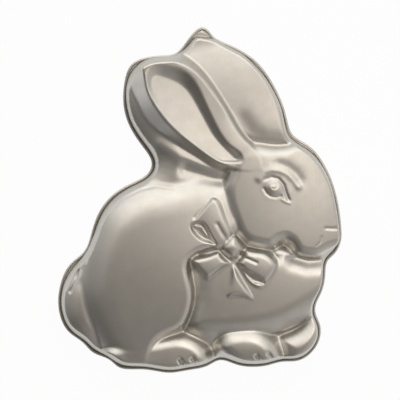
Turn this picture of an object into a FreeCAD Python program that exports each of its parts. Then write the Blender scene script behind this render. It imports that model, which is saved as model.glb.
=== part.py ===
"""Bunny cake pan: a side-on sitting rabbit with a bow, pressed from one sheet of aluminium.

The pan lies rim down. Z is up, out of the relief; X runs towards the rabbit's nose and Y towards its ears.
The origin is the middle of the pan's box, on the plane that the rim stands on.

The sheet is built the way the press tool is cut. Each form of the rabbit is a plug with an outside face,
and a second plug one gauge further in is its cake side. The sheet is what lies between all the outside
plugs and all the cake-side ones. The regions of the sheet stay separate solids, which meet face to face
at the creases of the relief.
"""

import FreeCAD, Part
import math
import os

doc = FreeCAD.newDocument("bunny_cake_pan")

# Driving sizes in millimetres, and angles in degrees
SIZES = {
    "pan_width": 292.0,
    "pan_length": 356.0,
    "sheet_gauge": 1.0,
    "curl_radius": 1.3,
    "wall_draft": 7.0,
    "wall_top": 52.0,
    "land_height": 22.0,
    "land_round": 3.0,
    "form_root": 7.0,
    "cut_overrun": 2.0,
    "haunch_foot": 26.0,
    "haunch_height": 48.0,
    "head_foot": 30.0,
    "head_height": 47.0,
    "front_ear_foot": 29.0,
    "front_ear_height": 45.0,
    "ear_edge_drop": 1.0,
    "ear_edge_width": 2.5,
    "ear_recess_shallow": 1.4,
    "ear_recess_deep": 9.0,
    "rear_ear_foot": 24.0,
    "rear_ear_height": 38.0,
    "neck_foot": 24.0,
    "neck_height": 34.0,
    "chest_foot": 24.0,
    "chest_height": 42.0,
    "rear_foot_foot": 24.0,
    "rear_foot_height": 40.0,
    "near_paw_foot": 24.0,
    "near_paw_height": 42.0,
    "far_paw_foot": 24.0,
    "far_paw_height": 34.0,
    "tail_foot": 24.0,
    "tail_height": 34.0,
    "ribbon_foot": 36.0,
    "knot_height": 50.0,
    "loop_height": 48.0,
    "tail_ribbon_height": 45.0,
    "collar_foot": 30.0,
    "collar_height": 38.0,
    "loop_opening_depth": 4.0,
    "eye_foot": 45.0,
    "eye_height": 49.0,
    "eye_socket_depth": 1.6,
    "pupil_depth": 1.2,
    "brow_foot": 45.0,
    "brow_height": 48.0,
    "toe_groove_depth": 10.0,
}

sheet = doc.addObject("Spreadsheet::Sheet", "Sizes")
for row, (alias, value) in enumerate(SIZES.items(), start=1):
    sheet.set(f"A{row}", alias)
    sheet.set(f"B{row}", str(value))
    sheet.setAlias(f"B{row}", alias)
doc.recompute()


def size(alias):
    """The value of a cell of the sheet."""
    return float(sheet.get(alias))


# The photograph's frame: the rim's box in its pixels, and how far a raised point shifts in the picture
RIM_LEFT_PX, RIM_RIGHT_PX = 58.0, 342.0
RIM_TOP_PX, RIM_BOTTOM_PX = 27.5, 373.0
LEAN_ACROSS_SHARE, LEAN_ALONG_SHARE = 0.04, 0.085

RIM_PX = [
    (202, 27.5), (209, 31.5), (214, 37.5), (228, 44.5), (243, 52), (256, 61.5), (268, 76), (277, 92), (283.5, 107),
    (287.5, 122), (292, 134), (301, 141), (313, 149.5), (325, 166), (333, 184), (338.5, 205), (341.4, 227),
    (341.2, 241), (335, 254), (327.5, 262), (325.5, 276), (322, 292), (316.5, 304), (316, 314), (320.5, 326),
    (319.5, 341), (311, 354), (298, 361.5), (282, 362.5), (268, 366), (252, 367.5), (236, 365), (220, 360.5),
    (207, 366.5), (188, 370.5), (168, 373), (144, 369.5), (120, 368), (109, 359.5), (93, 352.5), (83, 342.5),
    (69, 332), (60.5, 317.5), (58, 301), (60.5, 283), (70, 263.5), (84, 251), (91, 234), (98, 213.5), (112, 195),
    (131, 183), (147, 174), (151.5, 162), (143, 147), (130, 127), (123.5, 105), (124.5, 82), (131, 65), (146, 57.5),
    (164, 55.5), (177, 52.5), (188, 39.5), (195.5, 31),
]
# The side wall leaves the flange a little way inside the rim, and further in at the tips of the ears
WALL_PX = [
    (203, 37), (212, 40), (226, 47), (241.5, 55), (254, 65.5), (265, 78.5), (273.5, 93.5), (280, 108.5),
    (283.5, 124), (288.5, 136.5), (299, 145), (310.5, 153), (322, 168), (330, 185.5), (335, 205.5), (338, 226),
    (337.5, 240.5), (331.5, 251), (323.5, 260.5), (321.5, 276), (318, 291.5), (312.5, 304), (312, 314.5),
    (316.5, 326.5), (315.5, 340), (308.5, 351), (297, 357.5), (282, 358.5), (268, 362), (252, 363.5), (236.5, 361),
    (220, 356.5), (206, 362.5), (187.5, 366.5), (168, 369), (144.5, 365.5), (122, 363.5), (109, 356), (95.5, 348.5),
    (85, 339), (72, 329), (64.5, 316), (62, 301), (64.5, 284.5), (73.5, 267), (86, 253.5), (94.5, 235),
    (102, 215.5), (114.5, 198), (133, 186.5), (149, 177), (155.8, 163), (147, 145), (134, 125.5), (127.5, 104.5),
    (128.5, 83), (136, 69), (149, 62), (165, 59.5), (179, 56), (190, 44), (196, 38.5),
]

# A dome's facets stop this many degrees up its curve, where a flat crown caps it
LAST_TURN = 84.0
# Its slope anywhere is taken over this many degrees to either side
NEAR_TURN = 2.0
# Four corners that lie within this distance of one plane are one flat facet
FLATNESS = 1e-7
# Corners to each pixel of the rim's and the wall's lines, the sides of the rolled rim's section, and the
# facets round the edge of the land
RIM_CORNERS_EACH, WALL_CORNERS_EACH, BEAD_SIDES, LAND_STEPS = 2, 1, 6, 2
# Corners to each pixel of the front ear's lines, and how the gauge leans out of its edge and up from it
EAR_CORNERS_EACH, EAR_OUT_SHARE, EAR_UP_SHARE = 1, 0.65, 0.80

HAUNCH_PX = [
    (165, 184), (132, 193), (106, 217), (94, 245), (85, 288), (93, 325), (106, 355), (145, 374), (182, 340),
    (196, 293), (197, 262), (213, 222), (200, 193),
]
HEAD_PX = [
    (232, 166), (223, 176), (222, 205), (233, 231), (254, 248), (274, 250.5), (284, 246), (297, 257), (314, 260),
    (335, 251), (344, 228), (340, 195), (328, 165), (308, 143), (288, 136), (268, 141), (247, 144),
]
# The front ear rises from its crease to its crest, and a recess with a sloping floor is pressed into it.
# The four lines have a corner of each other's at every corner of theirs.
EAR_CREASE_PX = [
    (138, 64), (150, 58), (166, 58), (182, 61), (199, 70), (215, 87), (229, 107), (240, 126), (250, 141),
    (259, 152), (253, 165), (238, 170), (222, 170), (200, 159), (180, 147.5), (160, 133), (147, 117), (139, 98),
    (135, 80),
]
EAR_CREST_PX = [
    (143, 68), (152, 62.5), (167, 62), (181, 65), (197, 73), (212, 89.5), (225.5, 109), (236.5, 128.5), (247, 144),
    (254, 154), (248, 162), (236, 166.5), (222, 164.5), (206, 154.5), (190, 142.5), (171, 126.5), (154, 106),
    (147.5, 91), (144, 77),
]
EAR_MOUTH_PX = [
    (149, 73), (156, 67.5), (168, 68), (184, 73), (197, 85), (206, 102), (214, 119), (222, 135), (231, 147),
    (241, 155), (241, 162), (232, 163), (221, 162), (208, 153.5), (194, 143.5), (177, 129), (161, 110), (151, 94),
    (148, 82),
]
EAR_FLOOR_PX = [
    (152, 77), (158, 75.5), (166, 78), (178, 83), (188, 91), (196, 103), (204, 118), (213, 134), (223, 146),
    (234, 157), (236, 160.5), (231, 161.5), (221, 160), (209, 151.5), (196, 141.5), (180, 128), (164, 110),
    (154, 95), (151, 84),
]
# The recess's floor falls from one of these pixels to the other
EAR_SHALLOW_PX, EAR_DEEP_PX = (166, 118), (192, 92)
REAR_EAR_PX = [
    (200, 34), (222, 40), (245, 52), (266, 72), (280, 98), (288, 126), (287, 146), (258, 150), (236, 133),
    (214, 103), (193, 77), (178, 60), (184, 46),
]
NECK_PX = [(144, 160), (160, 146), (195, 152), (222, 164), (233, 176), (228, 184), (200, 180), (165, 176), (146, 176)]
CHEST_PX = [
    (212, 196), (240, 220), (268, 238), (305, 250), (330, 262), (326, 288), (314, 308), (303, 329), (284, 350),
    (245, 352), (212, 350), (172, 342), (180, 300), (190, 240),
]
REAR_FOOT_PX = [
    (150, 340), (170, 334), (190, 334), (205, 343), (211, 357), (205, 368), (172, 375), (136, 370), (126, 355),
]
NEAR_PAW_PX = [
    (214, 346), (225, 329), (248, 322), (270, 331), (282, 347), (283, 364), (262, 371), (238, 368), (222, 358),
]
FAR_PAW_PX = [
    (281, 336), (298, 327), (309, 310), (318, 316), (324, 332), (318, 350), (304, 365), (284, 366), (280, 352),
]
TAIL_PX = [
    (86, 262), (72, 266), (60, 282), (56, 302), (60, 322), (74, 338), (92, 352), (108, 356), (112, 335), (100, 290),
]
BOW_KNOT_PX = [(233, 233), (241, 240), (245, 248), (240, 257), (231, 261), (224, 254), (220, 246), (225, 238)]
BOW_UPPER_LOOP_PX = [
    (213, 196), (220, 201), (227, 219), (233, 234), (228, 243), (218, 249), (201, 241), (187, 227), (194, 213),
    (205, 200),
]
UPPER_LOOP_OPENING_PX = [(195, 224), (203, 226), (210, 237), (214, 244), (204, 241), (194, 233)]
BOW_RIGHT_LOOP_PX = [
    (244, 247), (262, 249), (276, 257), (279, 268), (270, 283), (260, 288), (247, 279), (236, 264), (238, 254),
]
RIGHT_LOOP_OPENING_PX = [(240, 265), (250, 270), (263, 279), (266, 284), (257, 286), (248, 279)]
BOW_LEFT_TAIL_PX = [(190, 259), (204, 254), (219, 250), (229, 259), (231, 265), (216, 274), (208, 281), (198, 270)]
BOW_LOWER_TAIL_PX = [(231, 263), (238, 268), (247, 281), (255, 297), (241, 299), (225, 298), (226, 280)]
COLLAR_PX = [(272, 252), (284, 250), (293, 256), (286, 262), (276, 262)]
EYE_PX = [(264, 184), (270, 179), (278, 181), (281, 188), (280, 195), (273, 197), (266, 193)]
EYE_SOCKET_PX = [(259, 186), (266, 178), (276, 176), (284, 182), (289, 199), (280, 199), (270, 200), (262, 194)]
PUPIL_PX = [(272, 186), (276, 186), (276.5, 189), (273, 190)]
BROW_PX = [(258, 174), (270, 169), (284, 171), (298, 186), (295, 187), (283, 177), (270, 173), (260, 177)]
REAR_TOE_GROOVES_PX = [
    [(178, 357), (180, 357), (187, 373), (179, 375)],
    [(192, 354), (194, 354), (201, 370), (193, 372)],
]
NEAR_TOE_GROOVES_PX = [
    [(255, 353), (257, 353), (263, 368), (255, 370)],
    [(267, 350), (269, 350), (277, 364), (269, 367)],
]


def place(pixel, height):
    """The point of the pan, seen from above, that shows at a pixel and lies at a height above the rim."""
    across = (pixel[0] - (RIM_LEFT_PX + RIM_RIGHT_PX) / 2) / (RIM_RIGHT_PX - RIM_LEFT_PX)
    along = ((RIM_TOP_PX + RIM_BOTTOM_PX) / 2 - pixel[1]) / (RIM_BOTTOM_PX - RIM_TOP_PX)
    return FreeCAD.Vector(
        across * size("pan_width") - height * LEAN_ACROSS_SHARE,
        along * size("pan_length") + height * LEAN_ALONG_SHARE,
        0,
    )


def outline(pixels, height, corners_each):
    """Corners of a smooth closed line through pixels, anticlockwise: corners_each of them to each pixel."""
    points = [place(pixel, height) for pixel in pixels]
    if sum(a.x * b.y - b.x * a.y for a, b in zip(points, points[1:] + points[:1])) < 0:
        points.reverse()
    curve = Part.BSplineCurve()
    marks = [0.0]
    for start, end in zip(points, points[1:] + points[:1]):
        marks.append(marks[-1] + math.sqrt((end - start).Length))
    curve.interpolate(Points=points, PeriodicFlag=True, Parameters=marks)
    corners = []
    for mark, next_mark in zip(marks, marks[1:]):
        for part in range(corners_each):
            corners.append(curve.value(mark + (next_mark - mark) * part / corners_each))
    return corners


def inset(corners, distance):
    """A closed line drawn in by a distance, with every edge kept parallel, so that facets stay flat."""
    moved = []
    for before, here, after in zip(corners[-1:] + corners[:-1], corners, corners[1:] + corners[:1]):
        first = (here - before).normalize()
        second = (after - here).normalize()
        inward = FreeCAD.Vector(-first.y - second.y, first.x + second.x, 0)
        moved.append(here + inward * (distance / (1 + first.dot(second))))
    return moved


def scaled(corners, centre, share, moved):
    """A closed line shrunk towards a centre and then moved."""
    return [centre + (corner - centre) * share + moved for corner in corners]


def at_height(corners, height):
    return [FreeCAD.Vector(corner.x, corner.y, height) for corner in corners]


def facet(low, after_low, after_high, high):
    """The flat facet between four corners, or two triangles where they don't lie in one plane."""
    lean = (after_low - low).cross(high - low).normalize()
    if abs((after_high - low).dot(lean)) < FLATNESS:
        return [Part.Face(Part.makePolygon([low, after_low, after_high, high, low]))]
    triangles = ((low, after_low, after_high, low), (low, after_high, high, low))
    return [Part.Face(Part.makePolygon(triangle)) for triangle in triangles]


def facets(rings, closed=False):
    """A solid skinned with flat facets from ring to ring, and capped unless the last ring meets the first."""
    pairs = list(zip(rings, rings[1:]))
    if closed:
        pairs.append((rings[-1], rings[0]))
        faces = []
    else:
        faces = [Part.Face(Part.makePolygon(cap + cap[:1])) for cap in (rings[0], rings[-1])]
    for low, high in pairs:
        for here in range(len(low)):
            after = (here + 1) % len(low)
            faces += facet(low[here], low[after], high[after], high[here])
    solid = Part.makeSolid(Part.makeShell(faces))
    return solid if solid.Volume > 0 else solid.reversed()


def feature(name, shape):
    """A shape of this script's own, as an object of the document."""
    made = doc.addObject("Part::Feature", name)
    made.Shape = shape
    return made


def combine(kind, name, members):
    """One boolean of the document: a cut or a common of two objects."""
    made = doc.addObject(f"Part::{kind}", name)
    made.Base, made.Tool = members
    return made


def rise(turn, squareness, fullness):
    """The profile of a form: the share of its outline and of its height, some degrees up its curve."""
    angle = math.radians(max(0.0, turn))
    return math.cos(angle) ** (2 / squareness), math.sin(angle) ** (2 / fullness)


def swell(name, pixels, middle, foot, crown, squareness, fullness, steps, corners_each):
    """The outside and cake-side plugs of a form that swells from an outline at its foot to its crown.

    The whole form is a dome over its middle. Squareness sharpens the shoulder, and fullness lifts it.
    """
    foot, crown, gauge = size(foot), size(crown), size("sheet_gauge")
    root = size("land_height") - size("form_root")
    corners = outline(pixels, foot, corners_each)
    centre = place(middle, foot)
    lean = place(middle, crown) - centre
    reach = sum((corner - centre).Length for corner in corners) / len(corners)
    outside, cake_side = [at_height(corners, root)], [at_height(inset(corners, gauge), root - gauge)]
    for step in range(steps + 1):
        turn = LAST_TURN * step / steps
        share, lift = rise(turn, squareness, fullness)
        before, after = rise(turn - NEAR_TURN, squareness, fullness), rise(turn + NEAR_TURN, squareness, fullness)
        run, climb = reach * (before[0] - after[0]), (crown - foot) * (after[1] - before[1])
        slope = math.hypot(run, climb)
        out, up = climb / slope, run / slope
        ring = scaled(corners, centre, share, lean * lift)
        height = foot + (crown - foot) * lift
        outside.append(at_height(ring, height))
        cake_side.append(at_height(inset(ring, gauge * out), height - gauge * up))
    return feature(f"{name}_outside", facets(outside)), feature(f"{name}_cake_side", facets(cake_side))


def dent(name, pixels, middle, top, depth, floor_share, corners_each):
    """The outside and cake-side plugs of a hollow pressed into a form."""
    top, depth, gauge, overrun = size(top), size(depth), size("sheet_gauge"), size("cut_overrun")
    corners = outline(pixels, top, corners_each)
    centre = place(middle, top)
    floor = scaled(corners, centre, floor_share, FreeCAD.Vector())
    outside = [at_height(floor, top - depth), at_height(corners, top), at_height(corners, top + overrun)]
    cake_side = [
        at_height(inset(floor, -gauge), top - depth - gauge),
        at_height(inset(corners, -gauge), top),
        at_height(inset(corners, -gauge), top + overrun),
    ]
    return feature(f"{name}_outside", facets(outside)), feature(f"{name}_cake_side", facets(cake_side))


def slanted(corners, fall):
    """A line with each corner at its height on the recess's sloping floor, lowered by a fall."""
    shallow = place(EAR_SHALLOW_PX, size("front_ear_height"))
    way = place(EAR_DEEP_PX, size("front_ear_height")) - shallow
    drop = size("ear_recess_deep") - size("ear_recess_shallow")
    high = size("front_ear_height") - size("ear_recess_shallow") - fall
    shares = [(corner - shallow).dot(way) / way.dot(way) for corner in corners]
    return [FreeCAD.Vector(corner.x, corner.y, high - drop * share) for corner, share in zip(corners, shares)]


def hollow_ear(name):
    """The outside and cake-side plugs of the front ear, with its recess pressed in."""
    foot, crown = size("front_ear_foot"), size("front_ear_height")
    gauge, overrun = size("sheet_gauge"), size("cut_overrun")
    root = size("land_height") - size("form_root")
    edge = crown - size("ear_edge_drop")
    crease = outline(EAR_CREASE_PX, foot, EAR_CORNERS_EACH)
    crest = outline(EAR_CREST_PX, edge, EAR_CORNERS_EACH)
    mouth = outline(EAR_MOUTH_PX, crown, EAR_CORNERS_EACH)
    floor = outline(EAR_FLOOR_PX, crown, EAR_CORNERS_EACH)
    crown_line = inset(crest, size("ear_edge_width"))
    out, up = gauge * EAR_OUT_SHARE, gauge * EAR_UP_SHARE
    outside = [
        at_height(crease, root), at_height(crease, foot), at_height(crest, edge), at_height(crown_line, crown),
    ]
    cake_side = [
        at_height(inset(crease, gauge), root - gauge),
        at_height(inset(crease, gauge), foot - up),
        at_height(inset(crest, out), edge - up),
        at_height(crown_line, crown - gauge),
    ]
    recess = [slanted(floor, 0), at_height(mouth, crown), at_height(mouth, crown + overrun)]
    recess_cake_side = [
        slanted(inset(floor, -out), gauge),
        at_height(inset(mouth, -gauge), crown),
        at_height(inset(mouth, -gauge), crown + overrun),
    ]
    plugs = []
    for side, form, hollow in (("outside", outside, recess), ("cake_side", cake_side, recess_cake_side)):
        swollen = feature(f"{name}_{side}", facets(form))
        pressed = feature(f"{name}_recess_{side}", facets(hollow))
        plugs.append(combine("Cut", f"{name}_pressed_{side}", (swollen, pressed)))
    return plugs


def wall_plug(name, line, grown, foot, top):
    """What lies inside the drafted side wall, between two heights."""
    draft = math.tan(math.radians(size("wall_draft")))
    rings = [at_height(inset(line, foot * draft - grown), foot), at_height(inset(line, top * draft - grown), top)]
    return feature(name, facets(rings))


def land_plug(name, line, inwards, foot, drop):
    """The pan's base form: the side wall up to the land, with a rounded edge between them."""
    draft = math.tan(math.radians(size("wall_draft")))
    land, rounding = size("land_height") - drop, size("land_round")
    rings = [at_height(inset(line, foot * draft + inwards), foot)]
    for step in range(LAND_STEPS + 1):
        turn = math.pi / 2 * step / LAND_STEPS
        height = land - rounding * (1 - math.sin(turn))
        reach = height * draft + inwards + rounding * (1 - math.cos(turn))
        rings.append(at_height(inset(line, reach), height))
    return feature(name, facets(rings))


def rolled_rim():
    """The edge of the sheet, rolled up into a bead round the whole rim."""
    rim, radius, sides = outline(RIM_PX, 0, RIM_CORNERS_EACH), size("curl_radius"), BEAD_SIDES
    reach = radius / math.cos(math.pi / sides)
    rings = []
    for side in range(sides):
        turn = math.pi * (2 * side + 1) / sides - math.pi / 2
        rings.append(at_height(inset(rim, reach - reach * math.cos(turn)), radius + reach * math.sin(turn)))
    return feature("rolled_rim", facets(rings, closed=True))


def rim_flange(wall):
    """The flat flange between the foot of the side wall and the rolled rim."""
    rim = at_height(inset(outline(RIM_PX, 0, RIM_CORNERS_EACH), size("curl_radius")), 0)
    blank = doc.addObject("Part::Extrusion", "flange_blank")
    blank.Base = feature("flange_sheet", Part.Face(Part.makePolygon(rim + rim[:1])))
    blank.DirMode = "Custom"
    blank.Dir = FreeCAD.Vector(0, 0, 1)
    blank.Solid = True
    blank.setExpression("LengthFwd", "Sizes.sheet_gauge")
    inside_bead = combine("Cut", "flange_inside_bead", (blank, doc.getObject("rolled_rim")))
    return combine("Cut", "rim_flange", (inside_bead, wall))


# The forms of the rabbit, the ones in front first, because each hides what it covers of those after it.
# A form has its line, the pixel its dome rises over, the sizes of its foot and top, how square and how full
# its profile is, its rings of facets, and its corners to each pixel. The front ear is made on its own.
FORMS = {
    "bow_knot": (BOW_KNOT_PX, (232, 247), "ribbon_foot", "knot_height", 2.6, 2.0, 4, 2),
    "bow_upper_loop": (BOW_UPPER_LOOP_PX, (213, 225), "ribbon_foot", "loop_height", 5.0, 2.4, 4, 2),
    "bow_right_loop": (BOW_RIGHT_LOOP_PX, (259, 268), "ribbon_foot", "loop_height", 5.0, 2.4, 4, 2),
    "bow_left_tail": (BOW_LEFT_TAIL_PX, (212, 264), "ribbon_foot", "tail_ribbon_height", 7.0, 2.4, 3, 2),
    "bow_lower_tail": (BOW_LOWER_TAIL_PX, (236, 286), "ribbon_foot", "tail_ribbon_height", 7.0, 2.4, 3, 2),
    "collar_ribbon": (COLLAR_PX, (283, 257), "collar_foot", "collar_height", 5.0, 2.4, 3, 2),
    "eye": (EYE_PX, (272.5, 188), "eye_foot", "eye_height", 2.2, 2.0, 3, 2),
    "brow": (BROW_PX, (272, 171), "brow_foot", "brow_height", 2.6, 2.0, 3, 2),
    "front_ear": None,
    "head": (HEAD_PX, (280, 200), "head_foot", "head_height", 5.0, 2.2, 5, 2),
    "rear_ear": (REAR_EAR_PX, (240, 98), "rear_ear_foot", "rear_ear_height", 3.2, 2.0, 4, 2),
    "haunch": (HAUNCH_PX, (145, 272), "haunch_foot", "haunch_height", 3.6, 2.0, 5, 3),
    "rear_foot": (REAR_FOOT_PX, (170, 355), "rear_foot_foot", "rear_foot_height", 4.0, 2.0, 4, 2),
    "near_paw": (NEAR_PAW_PX, (252, 349), "near_paw_foot", "near_paw_height", 3.4, 2.0, 4, 2),
    "far_paw": (FAR_PAW_PX, (302, 342), "far_paw_foot", "far_paw_height", 3.0, 2.0, 4, 2),
    "chest": (CHEST_PX, (250, 285), "chest_foot", "chest_height", 3.6, 2.0, 4, 2),
    "neck": (NECK_PX, (185, 164), "neck_foot", "neck_height", 3.0, 2.0, 3, 2),
    "tail": (TAIL_PX, (82, 308), "tail_foot", "tail_height", 3.0, 2.0, 4, 2),
}

# The hollows pressed into a form: each has the line of its mouth, the pixel that its floor draws in
# towards, the sizes of its mouth's height and of its depth, the floor's share of the mouth, and the
# corners to each pixel
HOLLOWS = {
    "bow_upper_loop": [(UPPER_LOOP_OPENING_PX, (201, 233), "loop_height", "loop_opening_depth", 0.6, 2)],
    "bow_right_loop": [(RIGHT_LOOP_OPENING_PX, (255, 277), "loop_height", "loop_opening_depth", 0.6, 2)],
    "head": [(EYE_SOCKET_PX, (273, 188), "head_height", "eye_socket_depth", 0.8, 2)],
    "eye": [(PUPIL_PX, (274, 187.5), "eye_height", "pupil_depth", 0.5, 1)],
    "rear_foot": [(line, line[0], "rear_foot_height", "toe_groove_depth", 0.5, 1) for line in REAR_TOE_GROOVES_PX],
    "near_paw": [(line, line[0], "near_paw_height", "toe_groove_depth", 0.5, 1) for line in NEAR_TOE_GROOVES_PX],
}

line = outline(WALL_PX, 0, WALL_CORNERS_EACH)
gauge, overrun = size("sheet_gauge"), size("cut_overrun")
wall = wall_plug("wall_outside", line, 0, 0, size("wall_top"))
wall_cake_side = wall_plug("wall_cake_side", line, -gauge, -overrun, size("wall_top") + overrun)
outsides, cake_sides = {}, {}
for name, shape in FORMS.items():
    outside, cake_side = swell(name, *shape) if shape else hollow_ear(name)
    for number, hollow in enumerate(HOLLOWS.get(name, ()), start=1):
        pressed, pressed_cake_side = dent(f"{name}_hollow_{number}", *hollow)
        outside = combine("Cut", f"{name}_pressed_{number}", (outside, pressed))
        cake_side = combine("Cut", f"{name}_pressed_cake_side_{number}", (cake_side, pressed_cake_side))
    outsides[name] = combine("Common", f"{name}_in_wall", (outside, wall))
    cake_sides[name] = combine("Common", f"{name}_cake_side_in_wall", (cake_side, wall_cake_side))
outsides["side_wall"] = land_plug("land_outside", line, 0, 0, 0)
cake_sides["side_wall"] = land_plug("land_cake_side", line, gauge, -overrun, gauge)
nodes = [rolled_rim(), rim_flange(wall)]
doc.recompute()


def region(name, hidden_by):
    """A form's own part of the sheet: its outside less every cake side, and less the forms in front."""
    outside = outsides[name].Shape
    tools = [tool.Shape for tool in list(cake_sides.values()) + hidden_by]
    return feature(name, outside.cut([tool for tool in tools if tool.BoundBox.intersect(outside.BoundBox)]))


in_front = []
for name in outsides:
    nodes.append(region(name, in_front))
    in_front.append(outsides[name])

for node in nodes:
    node.Label = node.Name
doc.recompute()
for made in doc.Objects:
    if "Invalid" in made.State or "Error" in made.State:
        raise RuntimeError(f"{made.Label} failed: {made.State}")
    if hasattr(made, "Shape") and (made.Shape.isNull() or not made.Shape.isValid()):
        raise RuntimeError(f"{made.Label} has no sound shape")

os.makedirs("parts", exist_ok=True)
for node in nodes:
    solids = [round(solid.Volume) for solid in node.Shape.Solids]
    print(f"{node.Label}: solids of {solids} mm3, {len(node.Shape.Faces)} faces")
    node.Shape.exportStep(f"parts/{node.Label}.step")
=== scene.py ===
"""A rabbit cake pan, pressed from one sheet of satin aluminium, lying rim down under soft studio light.

The sheet starts as a blank of closely spaced points inside the rim. Its relief is a field of heights: the
forms of the rabbit rise from their outlines, blend where they meet, and take their folds and grooves. The
blank is pressed onto that field, its edge follows the drafted side wall down to the flange, and a second
face one gauge below closes it. The rolled rim is a bead swept round the flange's edge.
"""

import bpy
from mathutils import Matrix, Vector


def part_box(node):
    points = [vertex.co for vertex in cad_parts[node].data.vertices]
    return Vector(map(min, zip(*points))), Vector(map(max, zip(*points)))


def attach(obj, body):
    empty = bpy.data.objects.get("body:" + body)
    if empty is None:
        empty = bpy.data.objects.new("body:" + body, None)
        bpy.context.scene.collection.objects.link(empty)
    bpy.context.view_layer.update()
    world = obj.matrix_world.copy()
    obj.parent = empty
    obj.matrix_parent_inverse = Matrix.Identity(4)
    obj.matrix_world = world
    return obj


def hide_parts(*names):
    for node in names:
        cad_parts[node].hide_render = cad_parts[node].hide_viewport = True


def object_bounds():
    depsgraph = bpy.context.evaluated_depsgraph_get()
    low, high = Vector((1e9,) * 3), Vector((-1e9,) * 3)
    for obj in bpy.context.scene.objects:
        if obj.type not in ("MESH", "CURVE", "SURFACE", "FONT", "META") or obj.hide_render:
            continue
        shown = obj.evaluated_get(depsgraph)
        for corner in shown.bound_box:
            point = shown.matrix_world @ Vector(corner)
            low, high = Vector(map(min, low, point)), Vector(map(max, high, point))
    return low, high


bl_info = {
    "name": "Rabbit Cake Pan",
    "version": (1, 0, 0),
    "blender": (4, 5, 0),
    "location": "View3D > Sidebar > Cake Pan",
    "description": "Builds a pressed aluminium rabbit cake pan and its studio",
    "category": "Add Mesh",
}

import math
from collections import namedtuple

import bpy
import numpy as np
from bpy.props import FloatProperty, FloatVectorProperty, IntProperty, PointerProperty
from bpy.types import Operator, Panel, PropertyGroup
from mathutils import Matrix, Vector
from mathutils.geometry import delaunay_2d_cdt

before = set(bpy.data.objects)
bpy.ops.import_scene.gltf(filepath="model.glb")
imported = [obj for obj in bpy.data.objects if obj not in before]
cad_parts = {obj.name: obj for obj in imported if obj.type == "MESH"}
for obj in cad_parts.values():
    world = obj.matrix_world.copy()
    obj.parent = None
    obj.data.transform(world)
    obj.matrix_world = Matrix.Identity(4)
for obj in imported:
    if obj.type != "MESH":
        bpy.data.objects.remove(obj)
CAD_LOW, CAD_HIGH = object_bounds()

# The photograph's frame: the rim's box in its pixels, and how far a raised point shifts in the picture
IMAGE_SIZE = 400.0
RIM_LEFT_PX, RIM_RIGHT_PX = 58.0, 342.0
RIM_TOP_PX, RIM_BOTTOM_PX = 27.5, 373.0
LEAN_ACROSS, LEAN_ALONG = 0.04, 0.085

# The pan's lines and outlines, in pixels of the photograph
RIM_PX = [
    (202, 27.5), (209, 31.5), (214, 37.5), (228, 44.5), (243, 52), (256, 61.5), (268, 76), (277, 92),
    (283.5, 107), (287.5, 122), (292, 134), (301, 141), (313, 149.5), (325, 166), (333, 184),
    (338.5, 205), (341.4, 227), (341.2, 241), (335, 254), (327.5, 262), (325.5, 276), (322, 292),
    (316.5, 304), (316, 314), (320.5, 326), (319.5, 341), (311, 354), (298, 361.5), (282, 362.5),
    (268, 366), (252, 367.5), (236, 365), (220, 360.5), (207, 366.5), (188, 370.5), (168, 373),
    (144, 369.5), (120, 368), (109, 359.5), (93, 352.5), (83, 342.5), (69, 332), (60.5, 317.5), (58, 301),
    (60.5, 283), (70, 263.5), (84, 251), (91, 234), (98, 213.5), (112, 195), (131, 183), (147, 174),
    (151.5, 162), (143, 147), (130, 127), (123.5, 105), (124.5, 82), (131, 65), (146, 57.5), (164, 55.5),
    (177, 52.5), (188, 39.5), (195.5, 31),
]
WALL_PX = [
    (203, 37), (212.5, 39), (226.5, 46), (242, 54), (254.5, 65), (265.5, 78), (274.5, 93), (281, 108),
    (284.5, 123.5), (289, 136), (299.5, 144.5), (311, 152.5), (323, 167.5), (331, 185), (336, 205.5),
    (339, 226), (338.5, 241), (332.5, 251.5), (324.5, 261), (322.5, 276), (319, 292), (313.5, 304.5),
    (313, 314.5), (317.5, 326.5), (316.5, 340.5), (309.5, 352), (297.5, 359), (282, 360), (268, 363.5),
    (252, 365), (236, 362.5), (220, 358), (206.5, 364), (188, 368), (168, 370.5), (144.5, 367),
    (121.5, 365), (108.5, 357), (94.5, 349.5), (84, 340), (71, 330), (63.5, 316.5), (61, 301),
    (63.5, 284), (73, 266.5), (85, 253), (93.5, 234.5), (101, 215), (114, 197.5), (132.5, 185.5),
    (148.5, 176.5), (155, 163), (146, 145.5), (133, 126), (126.5, 104.5), (127, 83), (134.5, 67.5),
    (148, 59), (165, 56.5), (178.5, 53.5), (190, 43), (196, 37),
]
HAUNCH_PX = [
    (244, 180), (222, 170), (200, 167), (182, 168), (162, 172), (142, 176), (118, 188), (100, 204),
    (88, 224), (78, 248), (70, 270), (68, 290), (72, 312), (82, 334), (92, 352), (102, 370), (116, 384),
    (128, 384), (152, 374), (153, 360), (156, 349), (161, 341.5), (168, 337), (177, 333), (186, 327),
    (192, 318), (196.5, 305), (198, 291), (196, 277), (194, 263), (200, 256), (222, 250), (240, 240),
    (244, 215),
]
HEAD_PX = [
    (226, 168), (221, 179), (220, 192), (223, 208), (229, 224), (235, 237), (246, 246.5), (262, 251),
    (276, 250), (284, 244), (292, 254), (305, 259.5), (320, 259), (334, 252), (350, 246), (358, 215),
    (352, 184), (338, 153), (315, 133), (290, 141), (270, 143), (254, 141), (238, 146), (228, 156),
]
EAR_CREASE_PX = [
    (138, 66), (150, 57), (166, 56), (182, 59), (199, 69), (215, 86), (229, 106), (240, 125), (250, 139),
    (262, 149), (264, 164), (244, 173), (221, 171.5), (199, 159.5), (179, 148), (159, 133.5),
    (146, 117.5), (138.5, 98), (135, 80),
]
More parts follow.
